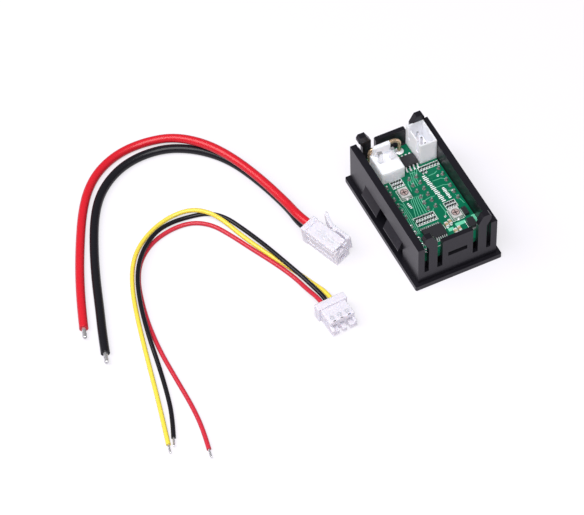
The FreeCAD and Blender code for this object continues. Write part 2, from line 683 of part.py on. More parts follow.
THIN_BLACK_ROUTE = [THIN_BLACK_EXIT, behind(THIN_BLACK_EXIT, SPLUG_YAW, 3.4)]
THIN_BLACK_ROUTE += [(10.4, -41.9, 2.7), (4.4, -43.4, 2.6), (-4.1, -46.0, 2.6), (-12.0, -48.1, 1.9)]
THIN_BLACK_ROUTE += [(-21.0, -50.8, 0.7), (-27.2, -53.5, 0.7), (-31.2, -57.6, 0.7)]
THIN_BLACK_ROUTE += [(-32.5, -63.6, 0.7), (-32.5, -70.0, 1.3), (-30.2, -76.2, 2.3)]
THIN_BLACK_ROUTE += [(-25.0, -82.6, 2.5), (-17.7, -87.4, 2.4), (-7.1, -90.9, 2.3), (4.5, -93.3, 2.0)]
THIN_BLACK_ROUTE += [(14.0, -94.6, 0.9), (24.5, -96.5, 0.7), (33.0, -98.6, 0.7), (40.0, -101.4, 0.7)]

THIN_RED_ROUTE = [THIN_RED_EXIT, behind(THIN_RED_EXIT, SPLUG_YAW, 3.4)]
THIN_RED_ROUTE += [(9.3, -43.6, 1.3), (2.9, -44.9, 0.7), (-4.4, -47.8, 0.7), (-12.4, -51.6, 0.7)]
THIN_RED_ROUTE += [(-20.4, -55.2, 0.7), (-26.6, -58.6, 0.7), (-30.2, -63.8, 0.7)]
THIN_RED_ROUTE += [(-30.5, -70.6, 0.7), (-28.4, -77.8, 0.7), (-23.6, -83.7, 0.7), (-16.8, -87.5, 0.7)]
THIN_RED_ROUTE += [(-7.9, -89.9, 0.7), (0.6, -91.4, 0.7), (10.6, -92.2, 0.7), (21.3, -92.1, 0.7)]
THIN_RED_ROUTE += [(32.1, -91.9, 0.7), (41.2, -92.5, 0.7), (48.2, -93.9, 0.7)]

YELLOW_ROUTE = [YELLOW_EXIT, behind(YELLOW_EXIT, SPLUG_YAW, 4.0)]
YELLOW_ROUTE += [(8.2, -40.8, 0.9), (2.9, -42.8, 0.7), (-3.8, -45.9, 0.7), (-12.4, -49.8, 0.7)]
YELLOW_ROUTE += [(-20.0, -52.7, 0.7), (-25.4, -54.8, 1.6), (-30.1, -57.7, 2.4), (-33.6, -62.2, 2.4)]
YELLOW_ROUTE += [(-35.0, -68.4, 1.0), (-33.2, -75.1, 0.7), (-29.0, -81.8, 0.7), (-23.0, -86.7, 0.7)]
YELLOW_ROUTE += [(-14.2, -90.5, 0.7), (-3.2, -93.5, 0.7), (10.0, -96.5, 0.7), (22.9, -99.3, 0.7)]
YELLOW_ROUTE += [(33.3, -101.7, 0.7), (41.5, -103.7, 0.7)]


def main():
    """Build every part and write its STEP file."""
    save("housing", make_housing())
    save("display_window", make_lens())
    for end, end_name in ((-1.0, "header_end"), (1.0, "plain_end")):
        for hand, hand_name in ((-1.0, "left"), (1.0, "right")):
            save("board_clip_" + end_name + "_" + hand_name, make_clip(end, hand))
            save("panel_latch_" + end_name + "_" + hand_name, make_latch(end, hand))

    board = slab((0.0, 0.0), (BOARD_X, BOARD_Y, BOARD_T), BOARD_LOW)
    through = []
    for name, mid_y in (("volts", VOLTS_MID_Y), ("amps", AMPS_MID_Y)):
        body, bars, pins = make_module(mid_y)
        save(name + "_display", body)
        save(name + "_digits", group(bars))
        save(name + "_display_pins", group(pins))
        through.extend(pins)
    shell, pins = make_sense_header()
    save("sense_header", shell)
    save("sense_header_pins", group(pins))
    through.extend(pins)
    shell, pins = make_current_header()
    save("current_header", shell)
    save("current_header_pins", group(pins))
    through.extend(pins)
    shunt = make_shunt()
    save("shunt", shunt)
    save("circuit_board", take(board, through + [shunt]))

    leads = gull_leads(AMP_MID, AMP_SPAN, AMP_LEAD_W, AMP_PITCH, 4, 0.7)
    save("amplifier_leads", group(leads))
    save("amplifier_chip", make_chip(AMP_MID, AMP_SIZE, leads))
    leads = gull_leads(MCU_MID, MCU_SPAN, MCU_LEAD_W, MCU_PITCH, 10, 0.5)
    save("controller_leads", group(leads))
    save("controller_chip", make_chip(MCU_MID, MCU_SIZE, leads))

    tabs = []
    for side in (-1.0, 1.0):
        spot = (DIODE_MID[0] + side * (DIODE_SIZE[0] / 2.0 + DIODE_TAB[0] / 2.0), DIODE_MID[1])
        tabs.append(slab(spot, DIODE_TAB, BOARD_TOP))
    save("diode", slab(DIODE_MID, DIODE_SIZE, BOARD_TOP))
    save("diode_tabs", group(tabs))

    for name, mid in (("volts", VOLTS_TRIM), ("amps", AMPS_TRIM)):
        frame, rotor = make_trimmer(mid)
        save(name + "_trimmer", frame)
        save(name + "_trimmer_screw", rotor)

    rows = [(x, DISPLAY_R_Y + DISPLAY_R_PITCH * i) for x in DISPLAY_R_X for i in range(7)]
    save("display_resistors", make_small(rows, CHIP_R))
    rows = [(x, SENSE_R_Y + SENSE_R_PITCH * i) for x in SENSE_R_X for i in range(4)]
    save("sense_resistors", make_small(rows, CHIP_R))
    rows = [(DIVIDER_X, DIVIDER_Y + DIVIDER_PITCH * i) for i in range(7)]
    rows += [(DIVIDER_SIDE_X, DIVIDER_Y + DIVIDER_PITCH * i) for i in range(2)]
    rows += [(x, SCALE_R_Y + SCALE_R_PITCH * i) for x in SCALE_R_X for i in range(4)]
    save("divider_resistors", make_small(rows, CHIP_R))
    save("supply_capacitors", make_small(CAPS, CAP_SIZE))
    save("timing_part", slab(TIMING_MID, TIMING_SIZE, BOARD_TOP))

    shell, contacts = make_current_plug()
    where = (CPLUG_AT, CPLUG_YAW, CPLUG_ROLL)
    save("current_plug", place(shell, *where))
    save("current_contacts", place(group(contacts), *where))
    save("current_plug_lever", place(make_lever(), *where))
    shell, contacts = make_sense_plug()
    where = (SPLUG_AT, SPLUG_YAW, 0.0)
    save("sense_plug", place(shell, *where))
    save("sense_contacts", place(group(contacts), *where))

    thick = (("current_lead_red", THICK_RED_ROUTE), ("current_lead_black", THICK_BLACK_ROUTE))
    for name, route in thick:
        save(name, make_lead(name, route, THICK_D))
    tips = [make_tip(route, THICK_CORE, THICK_TIP) for _, route in thick]
    save("current_lead_tips", group(tips))
    thin = (("sense_lead_red", THIN_RED_ROUTE), ("sense_lead_black", THIN_BLACK_ROUTE))
    thin += (("sense_lead_yellow", YELLOW_ROUTE),)
    for name, route in thin:
        save(name, make_lead(name, route, THIN_D))
    tips = [make_tip(route, THIN_CORE, THIN_TIP) for _, route in thin]
    save("sense_lead_tips", group(tips))


main()
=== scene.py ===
"""A panel volt and ammeter lying on its face, with its two lead sets beside it.

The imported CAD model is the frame. Hard parts keep their CAD meshes and get finishes
and softened edges here; leads, solder, board print and small parts are built here.
"""
from __future__ import annotations

import logging
import math
from dataclasses import dataclass, field
from enum import Enum
from typing import Sequence

import bpy
import numpy as np
from mathutils import Matrix, Vector

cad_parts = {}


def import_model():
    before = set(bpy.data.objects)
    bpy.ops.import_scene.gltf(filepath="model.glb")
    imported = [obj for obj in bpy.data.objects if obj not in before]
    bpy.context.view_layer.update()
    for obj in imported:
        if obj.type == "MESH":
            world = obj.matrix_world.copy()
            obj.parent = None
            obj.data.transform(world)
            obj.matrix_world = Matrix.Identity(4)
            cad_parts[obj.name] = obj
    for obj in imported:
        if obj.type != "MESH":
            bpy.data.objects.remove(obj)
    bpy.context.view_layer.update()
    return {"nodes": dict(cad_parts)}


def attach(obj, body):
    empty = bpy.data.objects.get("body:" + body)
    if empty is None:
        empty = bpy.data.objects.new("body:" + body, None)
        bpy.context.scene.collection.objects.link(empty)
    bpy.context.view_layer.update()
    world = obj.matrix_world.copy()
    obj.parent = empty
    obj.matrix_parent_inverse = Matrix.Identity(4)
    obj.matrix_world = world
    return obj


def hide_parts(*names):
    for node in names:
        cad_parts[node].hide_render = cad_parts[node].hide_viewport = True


LOG = logging.getLogger("meter")
MM = 0.001

Point = tuple[float, float, float]
Flat = tuple[float, float]
Mesh = tuple[np.ndarray, np.ndarray]

# Where things stand on the board and in the case, in millimetres.
BOARD_TOP = 10.6
CONTROLLER_MID: Flat = (14.1, -3.4)
AMPLIFIER_MID: Flat = (-13.9, 2.25)
TRIMMER_MIDS: tuple[Flat, Flat] = ((-3.3, -4.6), (10.5, 5.65))
TRIMMER_HEIGHT = 1.2
CAPACITOR_MIDS: tuple[Flat, ...] = ((13.1, 1.3), (12.6, 2.75), (16.1, 4.1), (16.5, 2.6))
SHUNT_FEET: tuple[Flat, Flat] = ((-19.3, -8.3), (-19.3, 1.8))
DISPLAY_MID_X = -1.45
DISPLAY_MIDS_Y: Flat = (-4.46, 5.64)
DISPLAY_ROW_REACH = 3.81
HEADER_PITCH = 2.54
SENSE_PITCH = 2.5
WALL_LIP_Y = 11.22
WALL_LIP_Z = 9.88

# How far copper and print stand clear of the board, and each strip of the one before.
RUN_LIFT = 0.012
PAD_LIFT = 0.014
PRINT_LIFT = 0.02
GAP_LIFT = 0.024
STRIP_STEP = 0.0004


# ------------------------------------------------------------------ meshes from arrays
def mesh_object(name: str, verts: np.ndarray, faces: np.ndarray,
                smooth: bool = False) -> bpy.types.Object:
    """Make an object at the origin from vertex and quad arrays.

    Args:
        name: The object's name.
        verts: An (n, 3) array in millimetres.
        faces: An (m, k) array of vertex indices.
        smooth: Whether its faces are shaded smooth.

    Returns:
        The linked object.
    """
    mesh = bpy.data.meshes.new(name)
    corners = faces.shape[1]
    mesh.vertices.add(len(verts))
    mesh.vertices.foreach_set("co", (verts * MM).astype(np.float32).ravel())
    mesh.loops.add(faces.size)
    mesh.loops.foreach_set("vertex_index", faces.astype(np.int32).ravel())
    mesh.polygons.add(len(faces))
    mesh.polygons.foreach_set("loop_start", np.arange(0, faces.size, corners, dtype=np.int32))
    mesh.polygons.foreach_set("use_smooth", np.full(len(faces), smooth))
    mesh.update(calc_edges=True)
    mesh.validate()
    obj = bpy.data.objects.new(name, mesh)
    bpy.context.scene.collection.objects.link(obj)
    return obj


def grid_faces(rows: int, columns: int, wrap: bool) -> np.ndarray:
    """Return the quads of a grid of points.

    Args:
        rows: Points down the grid.
        columns: Points across the grid.
        wrap: Whether the last column joins the first.

    Returns:
        An (m, 4) index array.
    """
    index = np.arange(rows * columns).reshape(rows, columns)
    right = np.roll(index, -1, axis=1)
    span = slice(None) if wrap else slice(0, columns - 1)
    quads = (index[:-1, span], right[:-1, span], right[1:, span], index[1:, span])
    return np.stack([q.ravel() for q in quads], axis=1)


def tiled(verts: np.ndarray, faces: np.ndarray, places: np.ndarray) -> Mesh:
    """Repeat one small mesh at many places: every vertex plus every offset.

    Args:
        verts: The (n, 3) vertices of one copy.
        faces: The (m, k) faces of one copy.
        places: A (p, 3) array of offsets.

    Returns:
        The vertices and faces of all copies.
    """
    all_verts = (places[:, None, :] + verts[None, :, :]).reshape(-1, 3)
    steps = np.arange(len(places))[:, None, None] * len(verts)
    return all_verts, (faces[None, :, :] + steps).reshape(-1, faces.shape[1])


def lathe(profile: Sequence[Flat], turns: int = 20) -> Mesh:
    """Turn a profile of (radius, height) about the Z axis.

    A point at angle a is (radius times cos a, radius times sin a, height).

    Args:
        profile: The outline from the bottom up.
        turns: Points round the axis.

    Returns:
        Vertices and quads.
    """
    outline = np.array(profile, float)
    angle = np.linspace(0.0, 2.0 * math.pi, turns, endpoint=False)
    x = outline[:, 0:1] * np.cos(angle)
    y = outline[:, 0:1] * np.sin(angle)
    z = np.repeat(outline[:, 1:2], turns, axis=1)
    verts = np.stack([x, y, z], axis=-1).reshape(-1, 3)
    return verts, grid_faces(len(outline), turns, True)


def block(size: Point, bevel: float = 0.0) -> Mesh:
    """Return a block standing on z = 0, its upright edges and top edge chamfered.

    Three rings of eight points, half the size from the middle and cut at the corners,
    with the last ring drawn in by the chamfer's width.

    Args:
        size: Its size.
        bevel: The chamfer's width.

    Returns:
        Vertices and quads.
    """
    half = np.array(size[:2]) / 2.0
    cut = max(bevel, 1e-4)
    ring = []
    for inset, z in ((0.0, 0.0), (0.0, size[2] - cut), (cut, size[2])):
        hx, hy = half - inset
        ring.append([(hx - cut, hy, z), (-hx + cut, hy, z), (-hx, hy - cut, z), (-hx, -hy + cut, z),
                     (-hx + cut, -hy, z), (hx - cut, -hy, z), (hx, -hy + cut, z), (hx, hy - cut, z)])
    verts = np.array(ring, float).reshape(-1, 3)
    sides = grid_faces(3, 8, True)
    top = np.array([[16, 17, 18, 23], [23, 18, 19, 22], [22, 19, 20, 21]])
    return verts, np.concatenate([sides, top])


def ribbons(lines: Sequence[Sequence[Flat]], width: float, z: float) -> Mesh:
    """Lay flat strips along straight legs.

    Each leg's ends are pushed out along it, and its corners across it, by half the width.

    Args:
        lines: Polylines of (x, y).
        width: The strips' width.
        z: Their height.

    Returns:
        Vertices and quads, one quad a leg.
    """
    legs = np.array([(a, b) for line in lines for a, b in zip(line, line[1:])], float)
    along = legs[:, 1] - legs[:, 0]
    along = along / np.linalg.norm(along, axis=1, keepdims=True)
    across = np.stack([-along[:, 1], along[:, 0]], axis=1) * width / 2.0
    start = legs[:, 0] - along * width / 2.0
    end = legs[:, 1] + along * width / 2.0
    flat = np.stack([start - across, end - across, end + across, start + across], axis=1)
    height = z + np.arange(len(legs))[:, None, None] * STRIP_STEP
    verts = np.concatenate([flat, np.broadcast_to(height, (len(legs), 4, 1))], axis=2)
    return verts.reshape(-1, 3), np.arange(len(legs) * 4).reshape(-1, 4)


def frame_lines(x0: float, x1: float, y0: float, y1: float) -> list[Flat]:
    """Return the closed outline of a rectangle as one polyline."""
    return [(x0, y0), (x1, y0), (x1, y1), (x0, y1), (x0, y0)]


# ------------------------------------------------------------------ shading
class Graph:
    """A node tree with short ways to add and join nodes."""

    def __init__(self, tree: bpy.types.NodeTree) -> None:
        """Wrap a tree and clear it."""
        self.tree = tree
        tree.nodes.clear()

    def add(self, kind: str, **values: object) -> bpy.types.Node:
        """Add a node.

        Args:
            kind: The node's type.
            values: Properties, or input values where no property has the name.

        Returns:
            The new node.
        """
        node = self.tree.nodes.new(kind)
        for key, value in values.items():
            if hasattr(node, key):
                setattr(node, key, value)
            else:
                node.inputs[key.replace("_", " ")].default_value = value
        return node

    def link(self, source: bpy.types.NodeSocket, target: bpy.types.NodeSocket) -> None:
        """Join an output to an input."""
        self.tree.links.new(source, target)


class SharedGroups:
    """The shader groups that every finish draws on."""

    _made: dict[str, bpy.types.NodeTree] = {}

    @classmethod
    def _new(cls, name: str, inputs: dict[str, float],
             outputs: dict[str, str]) -> tuple[Graph, bpy.types.Node, bpy.types.Node]:
        """Start a group with float inputs and named outputs."""
        tree = bpy.data.node_groups.new(name, "ShaderNodeTree")
        for label, value in inputs.items():
            socket = tree.interface.new_socket(name=label, in_out="INPUT", socket_type="NodeSocketFloat")
            socket.default_value = value
        for label, kind in outputs.items():
            tree.interface.new_socket(name=label, in_out="OUTPUT", socket_type=kind)
        graph = Graph(tree)
        cls._made[name] = tree
        return graph, graph.add("NodeGroupInput"), graph.add("NodeGroupOutput")

    @classmethod
    def grain(cls) -> bpy.types.NodeTree:
        """Return the group of fine moulded grain: a height-bent normal and a mask."""
        if "moulded_grain" in cls._made:
            return cls._made["moulded_grain"]
        inputs = {"Scale": 9000.0, "Depth": 0.2}
        outputs = {"Normal": "NodeSocketVector", "Mask": "NodeSocketFloat"}
        graph, start, end = cls._new("moulded_grain", inputs, outputs)
        place = graph.add("ShaderNodeTexCoord")
        noise = graph.add("ShaderNodeTexNoise", Detail=2.0, Roughness=0.6)
        bump = graph.add("ShaderNodeBump", Distance=0.00003)
        graph.link(place.outputs["Object"], noise.inputs["Vector"])
        graph.link(start.outputs["Scale"], noise.inputs["Scale"])
        graph.link(start.outputs["Depth"], bump.inputs["Strength"])
        graph.link(noise.outputs["Fac"], bump.inputs["Height"])
        graph.link(bump.outputs["Normal"], end.inputs["Normal"])
        graph.link(noise.outputs["Fac"], end.inputs["Mask"])
        return cls._made["moulded_grain"]

    @classmethod
    def drift(cls) -> bpy.types.NodeTree:
        """Return the group of slow uneven tone: a value about one."""
        if "tone_drift" in cls._made:
            return cls._made["tone_drift"]
        inputs = {"Scale": 120.0, "Amount": 0.1}
        graph, start, end = cls._new("tone_drift", inputs, {"Value": "NodeSocketFloat"})
        place = graph.add("ShaderNodeTexCoord")
        noise = graph.add("ShaderNodeTexNoise", Detail=3.0)
        centre = graph.add("ShaderNodeMath", operation="SUBTRACT")
        centre.inputs[1].default_value = 0.5
        scale = graph.add("ShaderNodeMath", operation="MULTIPLY")
        lift = graph.add("ShaderNodeMath", operation="ADD")
        lift.inputs[1].default_value = 1.0
        graph.link(place.outputs["Object"], noise.inputs["Vector"])
        graph.link(start.outputs["Scale"], noise.inputs["Scale"])
        graph.link(noise.outputs["Fac"], centre.inputs[0])
        graph.link(centre.outputs[0], scale.inputs[0])
        graph.link(start.outputs["Amount"], scale.inputs[1])
        graph.link(scale.outputs[0], lift.inputs[0])
        graph.link(lift.outputs[0], end.inputs["Value"])
        return cls._made["tone_drift"]


@dataclass(frozen=True)
class Finish:
    """One surface finish, as numbers for a principled shader.

    Attributes:
        slot: The record's material slot; not used.
        color: Linear base colour.
        roughness: Mean roughness.
        metallic: 1 for bare metal.
        grain: Depth of the fine grain.
        grain_scale: Its scale, per metre.
        drift: How far the tone wanders.
        scatter: Share of light scattered under the surface.
        transmission: Share of light let through.
        painted_glow: Emission strength, a painted glow that brightens the part as if lit.
        specular: Reflection level.
        tint: Colour of the reflection.
        reach: How far scattered light travels, in metres.
    """

    slot: str
    color: Point
    roughness: float = 0.4
    metallic: float = 0.0
    grain: float = 0.1
    grain_scale: float = 9000.0
    drift: float = 0.06
    scatter: float = 0.0
    transmission: float = 0.0
    painted_glow: float = 0.0
    specular: float = 0.5
    tint: Point = (1.0, 1.0, 1.0)
    reach: float = 0.0012

    def build(self, name: str) -> bpy.types.Material:
        """Make the finish's material.

        Args:
            name: The material's name.

        Returns:
            The material, with its nodes.
        """
        material = bpy.data.materials.new(name)
        material.use_nodes = True
        graph = Graph(material.node_tree)
        end = graph.add("ShaderNodeOutputMaterial")
        body = graph.add("ShaderNodeBsdfPrincipled", Metallic=self.metallic, IOR=1.48)
        body.inputs["Specular IOR Level"].default_value = self.specular
        body.inputs["Specular Tint"].default_value = (*self.tint, 1.0)
        body.inputs["Base Color"].default_value = (*self.color, 1.0)
        body.inputs["Roughness"].default_value = self.roughness
        body.inputs["Transmission Weight"].default_value = self.transmission
        if self.scatter:
            body.inputs["Subsurface Weight"].default_value = self.scatter
            body.inputs["Subsurface Scale"].default_value = self.reach
            body.inputs["Subsurface Radius"].default_value = (1.0, 0.9, 0.85)
        # A painted glow: the base colour is emitted, which brightens the part as if it were lit.
        if self.painted_glow:
            body.inputs["Emission Color"].default_value = (*self.color, 1.0)
            body.inputs["Emission Strength"].default_value = self.painted_glow
        if self.grain:
            grain = graph.add("ShaderNodeGroup", node_tree=SharedGroups.grain())
            grain.inputs["Scale"].default_value = self.grain_scale
            grain.inputs["Depth"].default_value = self.grain
            graph.link(grain.outputs["Normal"], body.inputs["Normal"])
            spread = graph.add("ShaderNodeMapRange")
            spread.inputs["To Min"].default_value = max(0.02, self.roughness - 0.06)
            spread.inputs["To Max"].default_value = min(1.0, self.roughness + 0.06)
            graph.link(grain.outputs["Mask"], spread.inputs["Value"])
            graph.link(spread.outputs["Result"], body.inputs["Roughness"])
        if self.drift:
            drift = graph.add("ShaderNodeGroup", node_tree=SharedGroups.drift())
            drift.inputs["Amount"].default_value = self.drift * 2.0
            tone = graph.add("ShaderNodeHueSaturation")
            tone.inputs["Color"].default_value = (*self.color, 1.0)
            graph.link(drift.outputs["Value"], tone.inputs["Value"])
            graph.link(tone.outputs["Color"], body.inputs["Base Color"])
        graph.link(body.outputs["BSDF"], end.inputs["Surface"])
        return material


# What every nylon moulding, and every lead's sleeve, has in common.
MOULDED: dict[str, float] = {"roughness": 0.34, "grain": 0.12, "drift": 0.02}
SLEEVE: dict[str, float] = {"roughness": 0.27, "grain_scale": 3000.0}


class Paint(Enum):
    """Every finish on the object."""

    CASE = Finish("case", (0.0078, 0.0072, 0.0105), 0.3, grain=0.15, grain_scale=5200.0, drift=0.1,
                  specular=0.46, tint=(0.95, 0.91, 1.0))
    WINDOW = Finish("window", (0.02, 0.012, 0.014), 0.06, grain=0.0, drift=0.0, transmission=0.35)
    DISPLAY = Finish("display_body", (0.02, 0.02, 0.022), 0.5)
    RED_BAR = Finish("red_led", (0.5, 0.02, 0.02), 0.35, grain=0.0)
    BLUE_BAR = Finish("blue_led", (0.03, 0.12, 0.5), 0.35, grain=0.0)
    TIN = Finish("tin", (0.78, 0.77, 0.79), 0.22, metallic=0.8, grain=0.15, grain_scale=2600.0)
    SOLDER = Finish("tin", (0.5, 0.44, 0.45), 0.14, metallic=0.75, grain=0.3, grain_scale=1500.0)
    BRIGHT = Finish("tin", (0.86, 0.86, 0.88), 0.2, metallic=0.35, grain=0.2, grain_scale=1500.0)
    # The nylon plugs and headers carry a painted glow: emission that lifts their brightness and flattens
    # their shade.
    NYLON = Finish("connector", (0.66, 0.635, 0.7), scatter=1.0, painted_glow=0.14, reach=0.002, **MOULDED)
    HEADER = Finish("connector", (0.86, 0.85, 0.9), scatter=0.9, painted_glow=0.12, reach=0.003, **MOULDED)
    SHUNT = Finish("shunt_metal", (0.8, 0.58, 0.38), 0.22, metallic=0.75, grain=0.1, grain_scale=1800.0)
    BOARD = Finish("board", (0.002, 0.13, 0.066), 0.3, grain=0.15, grain_scale=900.0, drift=0.2,
                   specular=0.2)
    TRACE = Finish("board", (0.15, 0.58, 0.37), 0.25, grain=0.1, grain_scale=900.0)
    # Chip black, also used as painted shade in the trimmers' gaps and crosses and in the sense plug's front
    # slots.
    CHIP = Finish("chip", (0.02, 0.02, 0.024), 0.42, grain=0.25)
    FRAME = Finish("trimmer_frame", (0.7, 0.69, 0.68), 0.22, metallic=0.3, grain=0.1)
    ROTOR = Finish("trimmer_rotor", (0.62, 0.47, 0.45), 0.3, metallic=0.35, grain=0.1)
    CERAMIC = Finish("capacitor", (0.42, 0.3, 0.17), 0.35, grain=0.1)
    PRINT = Finish("board", (0.82, 0.84, 0.84), 0.5, grain=0.0, drift=0.0)
    THICK_RED = Finish("red_wire", (0.62, 0.012, 0.024), grain=0.08, drift=0.03, specular=0.45, **SLEEVE)
    THIN_RED = Finish("thin_red_wire", (0.57, 0.024, 0.045), grain=0.08, drift=0.03, specular=0.45, **SLEEVE)
    BLACK = Finish("black_wire", (0.009, 0.0085, 0.012), grain=0.1, drift=0.05, specular=0.36, **SLEEVE)
    YELLOW = Finish("yellow_wire", (0.84, 0.66, 0.075), grain=0.08, drift=0.03, **SLEEVE)

    def material(self) -> bpy.types.Material:
        """Return this finish's material, made once."""
        name = "finish_" + self.name.lower()
        found = bpy.data.materials.get(name)
        return found or self.value.build(name)


def dress(obj: bpy.types.Object, paint: Paint, body: str | None = None) -> bpy.types.Object:
    """Give an object its finish and, if it isn't a CAD node, its body.

    Args:
        obj: The object.
        paint: Its finish.
        body: The CAD body that it rides on.

    Returns:
        The same object.
    """
    obj.data.materials.clear()
    obj.data.materials.append(paint.material())
    if body:
        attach(obj, body)
    return obj


def soften(obj: bpy.types.Object, width: float, segments: int = 2, angle: float = 35.0) -> None:
    """Round an object's sharp edges with modifiers.

    Args:
        obj: The object.
        width: The rounding, in millimetres.
        segments: Steps round each edge.
        angle: The least turn that counts as sharp, in degrees.
    """
    bevel = obj.modifiers.new("edges", "BEVEL")
    bevel.width = width * MM
    bevel.segments = segments
    bevel.limit_method = "ANGLE"
    bevel.angle_limit = math.radians(angle)
    bevel.harden_normals = True
    bevel.use_clamp_overlap = True


# ------------------------------------------------------------------ leads
@dataclass(frozen=True)
class PlugPose:
    """Where a plug lies: its corner or centre, its turn and its tilt."""

    at: Point
    yaw: float
    roll: float

    def matrix(self) -> np.ndarray:
        """Return the plug's axes as columns."""
        a, r = math.radians(self.yaw), math.radians(self.roll)
        along = np.array([math.cos(a), math.sin(a), 0.0])
        level = np.array([-math.sin(a), math.cos(a), 0.0])
        up = np.array([0.0, 0.0, 1.0])
        across = math.cos(r) * level + math.sin(r) * up
        rise = -math.sin(r) * level + math.cos(r) * up
        return np.stack([along, across, rise], axis=1)

    def point(self, u: float, v: float, w: float) -> Point:
        """Return a point of the plug in the row frame, in millimetres."""
        spot = np.array(self.at) + self.matrix() @ np.array([u, v, w])
        return (float(spot[0]), float(spot[1]), float(spot[2]))


@dataclass
class Lead:
    """One free lead: its route, its bare end and its finish."""

    name: str
    exit: Point
    behind: float
    pose: PlugPose
    route: list[Point]
    diameter: float
    core: float
    tip: float
    length: float
    paint: Paint
    body: str
    tip_node: str
    carried: list[object] = field(default_factory=list)

    def points(self) -> np.ndarray:
        """Return the lead's control points, in millimetres."""
        back = np.array(self.exit) - self.pose.matrix()[:, 0] * self.behind
        return np.array([self.exit, tuple(back), *self.route], float)

    def build_sleeve(self) -> bpy.types.Object:
        """Make the insulated lead as one smooth spline."""
        points = self.points() * MM
        curve = bpy.data.curves.new(self.name + "_sleeve", "CURVE")
        curve.dimensions = "3D"
        spline = curve.splines.new("NURBS")
        spline.points.add(len(points) - 1)
        flat = np.concatenate([points, np.ones((len(points), 1))], axis=1)
        spline.points.foreach_set("co", flat.ravel())
        spline.order_u = 3
        spline.use_endpoint_u = True
        spline.resolution_u = 16
        curve.bevel_depth = self.diameter / 2.0 * MM
        curve.bevel_resolution = 8
        curve.use_fill_caps = True
        obj = bpy.data.objects.new(self.name + "_sleeve", curve)
        bpy.context.scene.collection.objects.link(obj)
        dress(obj, self.paint, self.body)
        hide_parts(self.name)
        return obj

    def build_tip(self) -> bpy.types.Object:
        """Make the tinned strands that stand out of the sleeve's end.

        The radius is half the core's, dented between strands by the sine of an angle that
        turns along the tip, and closed by a quarter ellipse past the shoulder.
        """
        points = self.points()
        end = points[-1]
        along = points[-1] - points[-2]
        along = along / np.linalg.norm(along)
        side = np.cross(along, [0.0, 0.0, 1.0])
        side = side / np.linalg.norm(side)
        rise = np.cross(side, along)
        rows, turns, strands = 24, 42, 7
        shoulder, cap, dent, twist, closing = 0.86, 0.14, 0.11, 2.6, 0.97
        t = np.linspace(0.0, 1.0, rows)[:, None]
        angle = np.linspace(0.0, 2.0 * math.pi, turns, endpoint=False)[None, :]
        past = ((t - shoulder) / cap).clip(0.0, 1.0)
        taper = np.sqrt(np.clip(1.0 - past ** 2 * closing, 0.0, 1.0))
        lobes = 1.0 - dent * np.abs(np.sin((angle + twist * t) * (strands / 2.0)))
        radius = self.core / 2.0 * taper * lobes
        across = radius * np.cos(angle)
        up = radius * np.sin(angle)
        line = end + (t * self.tip)[..., None] * along
        verts = line + across[..., None] * side + up[..., None] * rise
        faces = grid_faces(rows, turns, True)
        obj = mesh_object(self.name + "_strands", verts.reshape(-1, 3), faces, True)
        return dress(obj, Paint.TIN, self.body)

    def build(self) -> tuple[bpy.types.Object, bpy.types.Object]:
        sleeve = self.build_sleeve()
        tip = self.build_tip()
        LOG.info("lead %s: %d control points", self.name, len(self.points()))
        return sleeve, tip


